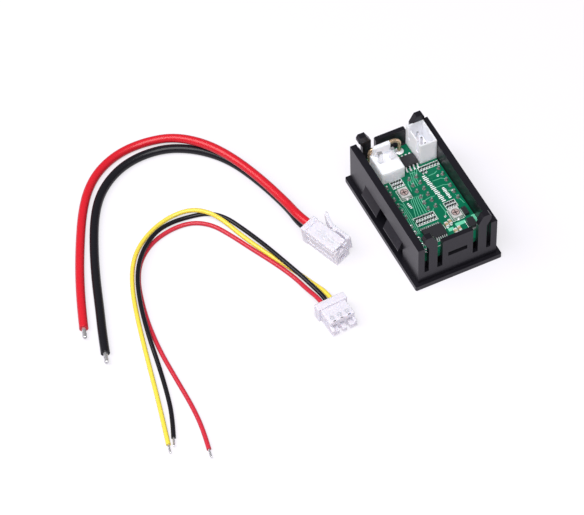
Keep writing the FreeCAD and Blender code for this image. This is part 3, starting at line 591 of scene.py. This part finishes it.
@dataclass
class LeadSets:
    """The two lead sets, laid out as the routes run on the surface."""

    current: PlugPose = PlugPose((-8.6, -36.2, 0.02), 20.0, 8.0)
    sense: PlugPose = PlugPose((18.2, -40.7, 0.02), 4.0, 0.0)

    def leads(self) -> list[Lead]:
        """Return every lead with its route."""
        thick = dict(diameter=2.8, core=1.4, tip=3.7, behind=4.2, pose=self.current,
                     body="current_lead_set", tip_node="current_lead_tips")
        thin = dict(diameter=1.4, core=0.7, tip=3.1, pose=self.sense,
                    body="sense_lead_set", tip_node="sense_lead_tips")
        red = [(-21.0, -35.9, 5.0), (-34.2, -38.9, 4.5), (-46.0, -43.2, 4.4), (-54.6, -48.6, 4.6),
               (-61.9, -55.4, 3.1), (-65.2, -63.6, 1.6), (-65.0, -72.4, 1.4), (-61.6, -80.6, 1.4),
               (-55.9, -87.0, 1.4), (-47.8, -92.4, 1.4), (-36.9, -97.8, 1.4), (-26.0, -102.6, 1.4),
               (-14.2, -107.0, 1.4), (-7.4, -109.2, 1.4)]
        black = [(-21.3, -35.0, 1.6), (-34.4, -38.2, 1.4), (-46.2, -42.6, 1.4), (-54.4, -49.2, 1.4),
                 (-59.6, -57.4, 1.4), (-60.9, -65.6, 1.4), (-59.7, -73.2, 1.4), (-56.3, -79.8, 1.4),
                 (-51.4, -85.2, 1.4), (-44.5, -89.7, 1.4), (-35.1, -94.0, 1.4), (-23.8, -98.3, 1.4),
                 (-11.6, -102.2, 1.4), (-3.2, -105.0, 1.4), (3.8, -107.1, 1.4)]
        thin_black = [(10.4, -41.9, 2.7), (4.4, -43.4, 2.6), (-4.1, -46.0, 2.6), (-12.0, -48.1, 1.9),
                      (-21.0, -50.8, 0.7), (-27.2, -53.5, 0.7), (-31.2, -57.6, 0.7), (-32.5, -63.6, 0.7),
                      (-32.5, -70.0, 1.3), (-30.2, -76.2, 2.3), (-25.0, -82.6, 2.5), (-17.7, -87.4, 2.4),
                      (-7.1, -90.9, 2.3), (4.5, -93.3, 2.0), (14.0, -94.6, 0.9), (24.5, -96.5, 0.7),
                      (33.0, -98.6, 0.7), (40.0, -101.4, 0.7)]
        thin_red = [(9.3, -43.6, 1.3), (2.9, -44.9, 0.7), (-4.4, -47.8, 0.7), (-12.4, -51.6, 0.7),
                    (-20.4, -55.2, 0.7), (-26.6, -58.6, 0.7), (-30.2, -63.8, 0.7), (-30.5, -70.6, 0.7),
                    (-28.4, -77.8, 0.7), (-23.6, -83.7, 0.7), (-16.8, -87.5, 0.7), (-7.9, -89.9, 0.7),
                    (0.6, -91.4, 0.7), (10.6, -92.2, 0.7), (21.3, -92.1, 0.7), (32.1, -91.9, 0.7),
                    (41.2, -92.5, 0.7), (48.2, -93.9, 0.7)]
        yellow = [(8.2, -40.8, 0.9), (2.9, -42.8, 0.7), (-3.8, -45.9, 0.7), (-12.4, -49.8, 0.7),
                  (-20.0, -52.7, 0.7), (-25.4, -54.8, 1.6), (-30.1, -57.7, 2.4), (-33.6, -62.2, 2.4),
                  (-35.0, -68.4, 1.0), (-33.2, -75.1, 0.7), (-29.0, -81.8, 0.7), (-23.0, -86.7, 0.7),
                  (-14.2, -90.5, 0.7), (-3.2, -93.5, 0.7), (10.0, -96.5, 0.7), (22.9, -99.3, 0.7),
                  (33.3, -101.7, 0.7), (41.5, -103.7, 0.7)]
        return [
            Lead("current_lead_black", self.current.point(0.0, 3.45, 1.77), route=black, length=148.0,
                 paint=Paint.BLACK, carried=["current_plug", "current_contacts", "current_plug_lever"],
                 **thick),
            Lead("current_lead_red", self.current.point(0.0, 3.45, 5.73), route=red, length=146.4,
                 paint=Paint.THICK_RED, **thick),
            Lead("sense_lead_black", self.sense.point(0.0, 0.0, 2.85), behind=3.4, route=thin_black,
                 length=148.5, paint=Paint.BLACK, carried=["sense_plug", "sense_contacts"], **thin),
            Lead("sense_lead_red", self.sense.point(0.0, -1.6, 2.85), behind=3.4, route=thin_red,
                 length=149.5, paint=Paint.THIN_RED, **thin),
            Lead("sense_lead_yellow", self.sense.point(0.0, 1.6, 2.85), behind=4.0, route=yellow,
                 length=153.5, paint=Paint.YELLOW, **thin),
        ]

    def plug_fill_and_slot_shade(self) -> None:
        """Fill the sense plug's top pockets and paint dark patches as the shade in its small front slots."""
        turn = self.sense.matrix()
        marks = (("sense_plug_fill", (1.08, 0.88, 0.6), 6.35, 4.545, Paint.NYLON),
                 # The slot patches are thin dark slabs painted as the shade inside the plug's front slots.
                 ("sense_plug_slots", (0.26, 0.8, 0.02), 7.84, 5.15, Paint.CHIP))
        for name, size, along, height, paint in marks:
            verts, faces = block(size, 0.01)
            places = np.array([[along, SENSE_PITCH * way, height] for way in (-1.0, 0.0, 1.0)])
            verts, faces = tiled(verts, faces, places)
            spots = np.array(self.sense.at) + verts @ turn.T
            dress(mesh_object(name, spots, faces), paint, "sense_lead_set")

    def build(self) -> None:
        """Make every lead and hand the CAD tips over to the strands."""
        for lead in self.leads():
            _, tip = lead.build()
            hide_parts(lead.tip_node)
        self.plug_fill_and_slot_shade()


# ------------------------------------------------------------------ hard parts on their CAD meshes
@dataclass(frozen=True)
class HardPart:
    """A CAD node shown as it is, with a finish and softened edges."""

    node: str
    paint: Paint
    edge: float = 0.12

    def build(self, nodes: dict[str, bpy.types.Object]) -> None:
        """Dress the node.

        Args:
            nodes: The frame's nodes by name.
        """
        obj = nodes[self.node]
        dress(obj, self.paint)
        if self.edge:
            soften(obj, self.edge)
        LOG.info("hard part %s as %s", self.node, self.paint.name)


def hard_parts() -> list[HardPart]:
    """Return every CAD node that is shown as it is."""
    parts = [HardPart("housing", Paint.CASE, 0.12), HardPart("display_window", Paint.WINDOW, 0.08)]
    for end in ("header_end", "plain_end"):
        for hand in ("left", "right"):
            parts.append(HardPart(f"board_clip_{end}_{hand}", Paint.CASE, 0.12))
            parts.append(HardPart(f"panel_latch_{end}_{hand}", Paint.CASE, 0.12))
    for name, bars in (("volts", Paint.RED_BAR), ("amps", Paint.BLUE_BAR)):
        parts.append(HardPart(f"{name}_display", Paint.DISPLAY, 0.1))
        parts.append(HardPart(f"{name}_digits", bars, 0.0))
        parts.append(HardPart(f"{name}_display_pins", Paint.TIN, 0.08))
        parts.append(HardPart(f"{name}_trimmer", Paint.FRAME, 0.1))
        parts.append(HardPart(f"{name}_trimmer_screw", Paint.ROTOR, 0.05))
    parts += [HardPart("sense_header", Paint.HEADER, 0.1), HardPart("current_header", Paint.HEADER, 0.12),
              HardPart("sense_header_pins", Paint.TIN, 0.1), HardPart("current_header_pins", Paint.TIN, 0.15),
              HardPart("shunt", Paint.SHUNT, 0.0), HardPart("circuit_board", Paint.BOARD, 0.05),
              HardPart("amplifier_leads", Paint.BRIGHT, 0.03), HardPart("amplifier_chip", Paint.CHIP, 0.12),
              HardPart("controller_leads", Paint.BRIGHT, 0.03), HardPart("controller_chip", Paint.CHIP, 0.08),
              HardPart("diode", Paint.CHIP, 0.15), HardPart("diode_tabs", Paint.TIN, 0.06),
              HardPart("display_resistors", Paint.CHIP, 0.05), HardPart("sense_resistors", Paint.CHIP, 0.05),
              HardPart("divider_resistors", Paint.CHIP, 0.05), HardPart("timing_part", Paint.CHIP, 0.08),
              HardPart("supply_capacitors", Paint.CERAMIC, 0.08),
              HardPart("current_plug", Paint.NYLON, 0.22), HardPart("current_plug_lever", Paint.NYLON, 0.15),
              HardPart("current_contacts", Paint.TIN, 0.05), HardPart("sense_plug", Paint.NYLON, 0.18),
              HardPart("sense_contacts", Paint.TIN, 0.05)]
    return parts


# ------------------------------------------------------------------ the board's fine detail
def pin_places() -> np.ndarray:
    """Return where the display blocks' pins come through the board, in plan."""
    x = DISPLAY_MID_X + (np.arange(6) - 2.5) * HEADER_PITCH
    y = np.array([mid + row * DISPLAY_ROW_REACH for mid in DISPLAY_MIDS_Y for row in (-1.0, 1.0)])
    return np.stack(np.meshgrid(x, y), axis=-1).reshape(-1, 2)


@dataclass(frozen=True)
class ResistorColumn:
    """A column of chip resistors lying across the board's length."""

    x: float
    start: float
    pitch: float
    count: int

    def places(self) -> list[Flat]:
        """Return the centres of the column's resistors, in plan."""
        return [(self.x, self.start + self.pitch * i) for i in range(self.count)]


RESISTOR_COLUMNS = (
    ResistorColumn(7.1, -5.95, 0.92, 7), ResistorColumn(8.8, -5.95, 0.92, 7),
    ResistorColumn(-8.7, -6.0, 0.9, 4), ResistorColumn(-7.3, -6.0, 0.9, 4),
    ResistorColumn(-9.95, 4.3, 0.95, 7), ResistorColumn(-8.4, 4.3, 0.95, 2),
    ResistorColumn(5.8, 4.9, 0.85, 4), ResistorColumn(7.05, 4.9, 0.85, 4),
)


def resistor_places() -> np.ndarray:
    """Return the centres of every chip resistor, in plan."""
    return np.array([spot for column in RESISTOR_COLUMNS for spot in column.places()])


@dataclass(frozen=True)
class ChipFeet:
    """The soldered feet down both sides of a chip."""

    name: str
    mid: Flat
    reach: float
    count: int
    pitch: float
    size: Point

    def plan(self) -> np.ndarray:
        """Return the feet's centres, in plan."""
        rows = (np.arange(self.count) - (self.count - 1) / 2.0) * self.pitch
        return np.array([(self.mid[0] + side * self.reach, self.mid[1] + y)
                         for side in (-1.0, 1.0) for y in rows])


@dataclass(frozen=True)
class Label:
    """A row of short printed strokes, with no letters in it."""

    start: Flat
    end: Flat
    count: int
    tall: float

    def strokes(self) -> list[list[Flat]]:
        """Return the strokes, each as a short upright line of its own height."""
        lines = []
        for i in range(self.count):
            x = self.start[0] + (self.end[0] - self.start[0]) * i / (self.count - 1)
            y = self.start[1] + (self.end[1] - self.start[1]) * i / (self.count - 1)
            tall = self.tall * (0.55 + 0.45 * ((i * 7) % 3) / 2.0)
            lines.append([(x, y - tall / 2.0), (x, y + tall / 2.0)])
        return lines


@dataclass
class BoardDetail:
    """Copper, print, solder and end caps that sit on the circuit board."""

    body: str = "meter"
    top: float = BOARD_TOP
    trimmers: tuple[Flat, Flat] = TRIMMER_MIDS

    def _show(self, name: str, mesh: Mesh, paint: Paint, smooth: bool = False) -> None:
        """Make one dressed object of the detail."""
        dress(mesh_object(name, mesh[0], mesh[1], smooth), paint, self.body)
        LOG.info("board detail %s", name)

    def _spots(self, plan: np.ndarray) -> np.ndarray:
        """Return plan points as places on the board."""
        return np.column_stack([plan, np.full(len(plan), self.top)])

    def chip_feet(self) -> None:
        """Solder the feet of both chips' leads."""
        for feet in (ChipFeet("controller_joints", CONTROLLER_MID, 3.1, 10, 0.65, (0.55, 0.36, 0.16)),
                     ChipFeet("amplifier_joints", AMPLIFIER_MID, 3.0, 4, 1.27, (0.75, 0.6, 0.2))):
            self._show(feet.name, tiled(*block(feet.size, 0.06), self._spots(feet.plan())), Paint.BRIGHT)

    def trimmer_painted_shade(self) -> None:
        """Paint dark shade into the gap round each trimmer's screw and onto the floor of its cross."""
        ring = lathe([(1.3, 0.0), (1.3, 0.02), (1.09, 0.02), (1.09, 0.0)], 32)
        arm, stroke, floor = 0.7, 0.36, 0.83
        for name, (x, y) in zip(("volts", "amps"), self.trimmers):
            place = np.array([[x, y, self.top + TRIMMER_HEIGHT]])
            # Painted shade: a dark ring in the gap round the screw, and dark strokes down in the cross.
            self._show(f"{name}_trimmer_gap", tiled(*ring, place), Paint.CHIP)
            cross = [[(x - arm, y), (x + arm, y)], [(x, y - arm), (x, y + arm)]]
            verts, faces = ribbons(cross, stroke, self.top + floor)
            obj = mesh_object(f"{name}_trimmer_cross", verts, faces)
            dress(obj, Paint.CHIP, f"{name}_trimmer_screw")

    def wall_lips(self) -> None:
        """Close the case behind the latches above their windows."""
        lip = block((26.0, 0.6, 4.1), 0.02)
        places = np.array([[0.0, side * WALL_LIP_Y, WALL_LIP_Z] for side in (-1.0, 1.0)])
        self._show("wall_lips", tiled(*lip, places), Paint.CASE)

    def copper(self) -> None:
        """Lay the copper runs that show through the green mask."""
        runs = [[(-1.2 + 0.1 * i, -2.6 + 0.6 * i), (0.2 * i, -3.9 + 0.6 * i), (1.4, -4.1 + 0.62 * i),
                 (5.9, -5.4 + 0.92 * i)] for i in range(6)]
        runs += [[(-2.1 + 1.3 * i, -6.9 - 0.55 * i), (-1.1 + 1.3 * i, -6.3 - 0.5 * i),
                  (6.0, -6.4 - 0.6 * i), (12.2, -7.2 - 0.35 * i)] for i in range(5)]
        runs += [[(-1.4, 5.2), (-1.4, 7.7), (-0.7, 9.3)], [(-4.1, 5.5), (-4.0, 8.3), (-3.2, 9.4)],
                 [(-6.5, 5.4), (-6.6, 7.5), (-7.1, 8.4)], [(1.2, 8.0), (1.7, 9.1)],
                 [(1.3, 3.3), (1.1, 2.0), (1.3, 0.8), (1.6, -0.3)], [(4.9, 3.3), (8.2, 3.5), (9.6, 2.7)],
                 [(3.7, 9.3), (5.2, 9.6), (7.6, 10.1)], [(5.5, 0.8), (6.3, 0.1)],
                 [(-8.9, -0.4), (-6.6, -1.6), (-3.5, -2.0)], [(-9.8, 0.6), (-9.6, 2.0), (-8.9, 2.6)]]
        runs += [[(-10.6, 0.9 + 0.8 * i), (-8.4, 0.5 + 0.6 * i), (-6.8, -0.6 + 0.7 * i),
                  (-4.6, -0.9 + 0.8 * i)] for i in range(4)]
        runs += [[(7.0 + 1.3 * i, -10.2 + 0.3 * i), (12.0 + 0.9 * i, -9.8 + 0.5 * i),
                  (16.5, -8.9 + 0.6 * i), (19.8, -8.2 + 0.7 * i)] for i in range(4)]
        self._show("copper_runs", ribbons(runs, 0.15, self.top + RUN_LIFT), Paint.TRACE)
        pads = [[(14.1, 4.4), (14.1, 6.6)], [(13.4, 10.2), (15.4, 10.2)], [(14.9, 1.6), (14.9, 2.2)],
                [(17.8, 3.2), (17.8, 4.2)]]
        self._show("copper_pads", ribbons(pads, 1.2, self.top + PAD_LIFT), Paint.TRACE)

    def printing(self) -> None:
        """Print the outlines round the groups of parts, and the rows of strokes."""
        lines = [frame_lines(6.25, 9.65, -6.6, 0.25), frame_lines(-9.45, -6.5, -6.55, -2.7),
                 frame_lines(5.0, 7.8, 4.3, 8.0), frame_lines(-10.8, -9.1, 3.7, 10.45)]
        for x, y in self.trimmers:
            lines.append(frame_lines(x - 2.2, x + 2.2, y - 1.8, y + 1.8))
        lines += [[(7.95, -6.4), (7.95, 0.1)], [(-8.0, -6.4), (-8.0, -2.9)], [(6.42, 4.4), (6.42, 7.9)],
                  [(12.3, 0.5), (14.2, 0.5)], [(12.0, 2.1), (13.6, 2.1)], [(15.0, 3.4), (17.4, 3.4)],
                  [(14.0, 6.9), (18.6, 6.9)], [(9.3, 7.9), (12.5, 7.9)], [(18.9, -6.5), (18.9, -1.5)]]
        self._show("print_lines", ribbons(lines, 0.13, self.top + PRINT_LIFT), Paint.PRINT)
        gaps = [[(x - 0.34, y + 0.45), (x + 0.34, y + 0.45)] for x, y in resistor_places()]
        self._show("print_gaps", ribbons(gaps, 0.11, self.top + GAP_LIFT), Paint.PRINT)
        labels = (Label((-7.0, 3.9), (4.2, 5.0), 17, 1.15), Label((-0.3, 7.1), (3.9, 7.3), 8, 0.7),
                  Label((0.4, -5.2), (2.3, -5.0), 4, 0.5))
        strokes = [stroke for label in labels for stroke in label.strokes()]
        self._show("print_dashes", ribbons(strokes, 0.38, self.top + PRINT_LIFT), Paint.PRINT)

    def solder(self) -> None:
        """Solder every joint that shows on this side of the board."""
        cone = lathe([(0.62, 0.0), (0.58, 0.08), (0.42, 0.22), (0.33, 0.5), (0.31, 0.75), (0.22, 0.86),
                      (0.0, 0.9)], 18)
        self._show("pin_joints", tiled(*cone, self._spots(pin_places())), Paint.SOLDER, True)
        feet = lathe([(1.45, 0.0), (1.4, 0.1), (1.1, 0.22), (0.85, 0.42), (0.64, 0.75)], 24)
        places = self._spots(np.array(SHUNT_FEET))
        self._show("shunt_joints", tiled(*feet, places), Paint.BRIGHT, True)
        ring = lathe([(0.8, 0.0), (0.76, 0.1), (0.6, 0.16), (0.36, 0.1), (0.32, 0.0)], 18)
        row = np.array([(8.6 + HEADER_PITCH * i, -8.5) for i in range(5)])
        self._show("plated_holes", tiled(*ring, self._spots(row)), Paint.TIN, True)
        dot = lathe([(0.42, 0.0), (0.4, 0.05), (0.2, 0.06), (0.16, 0.0)], 14)
        vias = np.array([(-5.4, 7.9), (9.7, 2.6), (1.7, -0.5), (1.7, 9.2), (-0.6, 9.4), (-3.1, 9.5)])
        self._show("vias", tiled(*dot, self._spots(vias)), Paint.TIN, True)

    def end_caps(self) -> None:
        """Tin both ends of every chip resistor and capacitor."""
        kinds = (("resistor_caps", (0.24, 0.6, 0.43), resistor_places(), 0.5),
                 ("capacitor_caps", (0.42, 0.92, 0.9), np.array(CAPACITOR_MIDS), 0.68))
        for name, size, plan, reach in kinds:
            heel = (size[0] * 0.6, size[1] * 0.8, size[2] * 0.3)
            layers = ((name, block(size, 0.05), reach),
                      (name + "_heels", block(heel, 0.05), reach + size[0] * 0.7))
            spots = self._spots(plan)
            for title, shape, offset in layers:
                both = np.concatenate([spots - [offset, 0.0, 0.0], spots + [offset, 0.0, 0.0]])
                self._show(title, tiled(*shape, both), Paint.BRIGHT)

    def trimmer_feet(self) -> None:
        """Solder the trimmers' three terminals."""
        foot = block((0.75, 0.8, 0.4), 0.12)
        corners = ((-2.15, -0.95), (-2.15, 0.95), (2.15, 0.0))
        spots = [(x + dx, y + dy) for x, y in self.trimmers for dx, dy in corners]
        self._show("trimmer_joints", tiled(*foot, self._spots(np.array(spots))), Paint.BRIGHT)

    def build(self) -> None:
        """Build all of it."""
        self.chip_feet()
        self.trimmer_painted_shade()
        self.wall_lips()
        self.copper()
        self.printing()
        self.solder()
        self.end_caps()
        self.trimmer_feet()


# ------------------------------------------------------------------ the stage
@dataclass(frozen=True)
class Stage:
    """The pale floor, the light and the camera."""

    target: Point = (-4.523, -42.0, 0.0)
    distance: float = 903.14
    azimuth: float = 66.205
    elevation: float = 52.115
    roll: float = -2.439
    lens: float = 184.13

    def build_camera(self) -> None:
        """Place the camera where the meter was seen from."""
        az, el, ro = (math.radians(a) for a in (self.azimuth, self.elevation, self.roll))
        back = Vector((math.sin(az) * math.cos(el), -math.cos(az) * math.cos(el), math.sin(el)))
        level = Vector((math.cos(az), math.sin(az), 0.0))
        rise = back.cross(level)
        right = level * math.cos(ro) + rise * math.sin(ro)
        up = rise * math.cos(ro) - level * math.sin(ro)
        turn = Matrix((right, up, back)).transposed().to_4x4()
        data = bpy.data.cameras.new("camera")
        data.lens = self.lens
        data.sensor_width = 36.0
        data.clip_start = 0.01
        data.clip_end = 20.0
        camera = bpy.data.objects.new("camera", data)
        spot = (Vector(self.target) + back * self.distance) * MM
        camera.matrix_world = Matrix.Translation(spot) @ turn
        scene = bpy.context.scene
        scene.collection.objects.link(camera)
        scene.camera = camera
        scene.render.resolution_x = 1168
        scene.render.resolution_y = 1030
        scene.render.resolution_percentage = 100

    def build_floor(self) -> None:
        """Lay the pale surface that everything stands on."""
        half = 900.0
        verts = np.array([(-half, -half, 0.0), (half, -half, 0.0), (half, half, 0.0), (-half, half, 0.0)])
        floor = mesh_object("floor", verts, np.array([[0, 1, 2, 3]]))
        material = bpy.data.materials.new("floor")
        material.use_nodes = True
        graph = Graph(material.node_tree)
        end = graph.add("ShaderNodeOutputMaterial")
        body = graph.add("ShaderNodeBsdfPrincipled", Roughness=0.9)
        body.inputs["Base Color"].default_value = (0.3, 0.28, 0.33, 1.0)
        body.inputs["Specular IOR Level"].default_value = 0.0
        body.inputs["Emission Color"].default_value = (1.0, 1.0, 1.0, 1.0)
        path = graph.add("ShaderNodeLightPath")
        seen = graph.add("ShaderNodeMapRange")
        seen.inputs["To Min"].default_value = 0.4
        seen.inputs["To Max"].default_value = 0.65
        graph.link(path.outputs["Is Camera Ray"], seen.inputs["Value"])
        graph.link(seen.outputs["Result"], body.inputs["Emission Strength"])
        graph.link(body.outputs["BSDF"], end.inputs["Surface"])
        floor.data.materials.append(material)

    def build_light(self) -> None:
        """Light the stage: a pale room, a large overhead box and a soft side box."""
        world = bpy.data.worlds.new("room")
        bpy.context.scene.world = world
        world.use_nodes = True
        graph = Graph(world.node_tree)
        end = graph.add("ShaderNodeOutputWorld")
        room = graph.add("ShaderNodeBackground")
        room.inputs["Color"].default_value = (0.96, 0.95, 1.0, 1.0)
        room.inputs["Strength"].default_value = 0.2
        graph.link(room.outputs["Background"], end.inputs["Surface"])
        for name, spot, size, power in (("overhead", (0.35, -0.22, 0.95), 0.8, 10.0),
                                        ("side", (-0.2, -0.7, 0.85), 0.7, 7.0)):
            data = bpy.data.lights.new(name, "AREA")
            data.shape = "SQUARE"
            data.size = size
            data.energy = power
            lamp = bpy.data.objects.new(name, data)
            lamp.location = spot
            aim = Vector((0.0, -0.05, 0.0)) - Vector(spot)
            lamp.rotation_euler = aim.to_track_quat("-Z", "Y").to_euler()
            bpy.context.scene.collection.objects.link(lamp)

    def build(self) -> None:
        """Make the whole stage and set the view transform."""
        self.build_camera()
        self.build_floor()
        self.build_light()
        scene = bpy.context.scene
        scene.view_settings.view_transform = "Standard"
        scene.view_settings.look = "None"
        LOG.info("stage set")


def main() -> None:
    """Build the scene."""
    logging.basicConfig(level=logging.INFO, format="%(name)s: %(message)s")
    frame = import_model()
    nodes = frame["nodes"]
    Stage().build()
    LeadSets().build()
    for part in hard_parts():
        part.build(nodes)
    BoardDetail().build()


if __name__ == "__main__":
    main()
